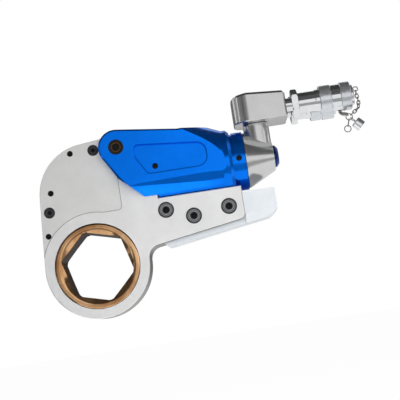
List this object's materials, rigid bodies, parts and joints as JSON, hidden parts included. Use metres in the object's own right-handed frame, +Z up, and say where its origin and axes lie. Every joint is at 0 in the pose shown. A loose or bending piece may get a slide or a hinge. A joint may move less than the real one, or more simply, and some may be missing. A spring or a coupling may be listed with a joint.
{
  "type": "hydraulic torque wrench",
  "caption": "Low-profile hydraulic torque wrench with a hexagon ratchet cassette, a blue power head and a two-way hose swivel with quick couplers.",
  "frame": {"origin": "centre of the hexagon socket, half way through the thickness of the cassette", "axes": "+X along the cylinder from the socket side to the hose side, +Y through the thickness along the socket's axis, +Z up from the socket to the cylinder"},
  "size_m": [0.3162, 0.063, 0.189],
  "materials": {
    "plate_steel": "satin ground plated steel",
    "cover_steel": "satin ground plated steel, a little darker",
    "bronze": "copper coloured bronze, turned",
    "blue_anodised": "blue anodised aluminium",
    "dark_screw": "blackened steel",
    "bare_steel": "machined bare steel",
    "coupler_steel": "bright plated steel",
    "tool_steel": "hardened ground tool steel",
    "spring_steel": "spring steel",
    "seal_rubber": "black seal rubber",
    "chain_steel": "bright chain",
    "plug_metal": "turned aluminium"
  },
  "bodies": {
    "cassette": {"side_plate_front": "plate_steel", "side_plate_rear": "plate_steel", "cover_plate_front": "cover_steel", "cover_plate_rear": "cover_steel", "nose_band": "plate_steel", "dowel_pins": "dark_screw", "plate_screws": "dark_screw", "cover_screws": "dark_screw", "reaction_arm": "plate_steel", "pawl_pin": "tool_steel", "pawl_spring": "spring_steel", "power_head": "blue_anodised", "link_bolt": "dark_screw", "link_nut": "dark_screw", "rod_bush": "bronze", "rod_seal": "seal_rubber", "cylinder_head": "bare_steel", "head_seal": "seal_rubber", "stem_nut": "blue_anodised"},
    "piston_unit": {"piston": "tool_steel", "piston_seal": "seal_rubber", "piston_rod": "bare_steel"},
    "drive_lever": {"lever_plate_front": "tool_steel", "lever_plate_rear": "tool_steel", "drive_pin": "tool_steel", "shoe_guide": "tool_steel", "shoe_springs": "spring_steel"},
    "shoe": {"drive_shoe": "tool_steel"},
    "ratchet": {"ratchet_wheel": "bronze"},
    "pawl": {"holding_pawl": "tool_steel"},
    "release": {"release_pin": "dark_screw"},
    "swivel": {"swivel_cap": "bare_steel", "swivel_screw": "dark_screw"},
    "block": {"swivel_block": "bare_steel", "hose_nipples": "coupler_steel", "nipple_nuts": "coupler_steel", "coupler_bodies": "coupler_steel", "dust_plugs": "plug_metal"},
    "sleeve_front": {"coupler_sleeve_front": "coupler_steel"},
    "sleeve_rear": {"coupler_sleeve_rear": "coupler_steel"},
    "cap_chain": {"chain_links": "chain_steel", "split_ring": "chain_steel", "dust_cap": "plug_metal"}
  },
  "joints": [
    {"name": "piston_slide", "type": "slide", "parent": "cassette", "child": "piston_unit", "axis": [-1, 0, 0], "range_m": [0, 0.03339]},
    {"name": "lever_swing", "type": "hinge", "parent": "cassette", "child": "drive_lever", "pos_m": [0, 0, 0], "axis": [0, -1, 0], "range_deg": [0, 24]},
    {"name": "ratchet_turn", "type": "hinge", "parent": "cassette", "child": "ratchet", "pos_m": [0, 0, 0], "axis": [0, -1, 0], "range_deg": [0, 24]},
    {"name": "shoe_lift", "type": "slide", "parent": "drive_lever", "child": "shoe", "axis": [0.2079, 0, 0.9781], "range_m": [0, 0.0026], "stiffness_N_per_m": 2000, "springref_m": -0.001, "deforming": ["shoe_springs"]},
    {"name": "release_push", "type": "slide", "parent": "cassette", "child": "release", "axis": [1, 0, 0], "range_m": [0, 0.00073], "stiffness_N_per_m": 1500, "springref_m": -0.001},
    {"name": "pawl_lift", "type": "hinge", "parent": "cassette", "child": "pawl", "pos_m": [-0.0345, 0, 0.0335], "axis": [0, 1, 0], "range_deg": [0, 6.95], "deforming": ["pawl_spring"]},
    {"name": "cap_swivel", "type": "hinge", "parent": "cassette", "child": "swivel", "pos_m": [0.16, 0, 0.07942], "axis": [1, 0, 0], "range_deg": [-105, 105]},
    {"name": "block_swivel", "type": "hinge", "parent": "swivel", "child": "block", "pos_m": [0.1664, 0, 0.125], "axis": [0, 0, 1], "range_deg": [-90, 90]},
    {"name": "sleeve_front_slide", "type": "slide", "parent": "block", "child": "sleeve_front", "axis": [-1, 0, 0], "range_m": [0, 0.003], "stiffness_N_per_m": 3000, "springref_m": -0.002},
    {"name": "sleeve_rear_slide", "type": "slide", "parent": "block", "child": "sleeve_rear", "axis": [-1, 0, 0], "range_m": [0, 0.003], "stiffness_N_per_m": 3000, "springref_m": -0.002},
    {"name": "chain_swing", "type": "hinge", "parent": "block", "child": "cap_chain", "pos_m": [0.2639, -0.018, 0.12842], "axis": [0.3574, -0.8999, 0.25], "range_deg": [-3, 10]}
  ],
  "couplings": [
    {"joint": "lever_swing", "follows": "piston_slide", "rad_per_m": 12.545},
    {"joint": "ratchet_turn", "follows": "piston_slide", "rad_per_m": 12.545},
    {"joint": "pawl_lift", "follows": "release_push", "rad_per_m": 164.97}
  ]
}
